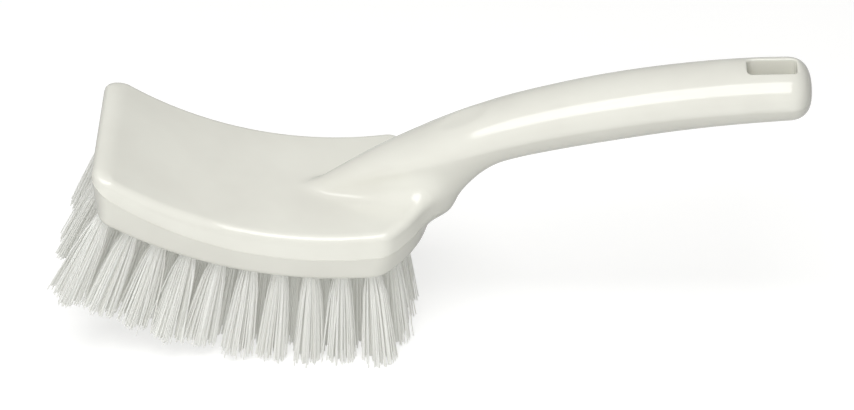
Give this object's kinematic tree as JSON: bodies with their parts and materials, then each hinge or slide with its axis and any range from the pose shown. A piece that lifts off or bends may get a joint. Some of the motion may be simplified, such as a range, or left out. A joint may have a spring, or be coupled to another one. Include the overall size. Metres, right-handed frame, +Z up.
{
  "type": "hand brush",
  "caption": "Hand scrubbing brush: a one-piece moulded block, bowed up at both ends, with an arched oval handle, a hanging slot and rows of stapled bristle tufts",
  "frame": {"origin": "bottom centre of the bounding box, on the floor that the bristle tips stand on", "axes": "+X runs along the brush towards the handle's end, +Y across the block, +Z up; the brush stands on its own bristles, with the handle raised"},
  "size_m": [0.2668, 0.0708, 0.107],
  "materials": {
    "moulding": "glossy off-white moulded plastic",
    "bristle": "white translucent filament, cut ends"
  },
  "bodies": {
    "root": {"brush_body": "moulding", "tuft_r1_c01": "bristle", "tuft_r1_c02": "bristle", "tuft_r1_c03": "bristle", "tuft_r1_c04": "bristle", "tuft_r1_c05": "bristle", "tuft_r1_c06": "bristle", "tuft_r1_c07": "bristle", "tuft_r1_c08": "bristle", "tuft_r1_c09": "bristle", "tuft_r1_c10": "bristle", "tuft_r2_c01": "bristle", "tuft_r2_c02": "bristle", "tuft_r2_c03": "bristle", "tuft_r2_c04": "bristle", "tuft_r2_c05": "bristle", "tuft_r2_c06": "bristle", "tuft_r2_c07": "bristle", "tuft_r2_c08": "bristle", "tuft_r2_c09": "bristle", "tuft_r2_c10": "bristle", "tuft_r3_c01": "bristle", "tuft_r3_c02": "bristle", "tuft_r3_c03": "bristle", "tuft_r3_c04": "bristle", "tuft_r3_c05": "bristle", "tuft_r3_c06": "bristle", "tuft_r3_c07": "bristle", "tuft_r3_c08": "bristle", "tuft_r3_c09": "bristle", "tuft_r4_c01": "bristle", "tuft_r4_c02": "bristle", "tuft_r4_c03": "bristle", "tuft_r4_c04": "bristle", "tuft_r4_c05": "bristle", "tuft_r4_c06": "bristle", "tuft_r4_c07": "bristle", "tuft_r4_c08": "bristle", "tuft_r4_c09": "bristle", "tuft_r5_c01": "bristle", "tuft_r5_c02": "bristle", "tuft_r5_c03": "bristle", "tuft_r5_c04": "bristle", "tuft_r5_c05": "bristle", "tuft_r5_c06": "bristle", "tuft_r5_c07": "bristle", "tuft_r5_c08": "bristle", "tuft_r5_c09": "bristle", "tuft_r5_c10": "bristle", "tuft_r6_c01": "bristle", "tuft_r6_c02": "bristle", "tuft_r6_c03": "bristle", "tuft_r6_c04": "bristle", "tuft_r6_c05": "bristle", "tuft_r6_c06": "bristle", "tuft_r6_c07": "bristle", "tuft_r6_c08": "bristle", "tuft_r6_c09": "bristle", "tuft_r6_c10": "bristle"}
  },
  "joints": []
}
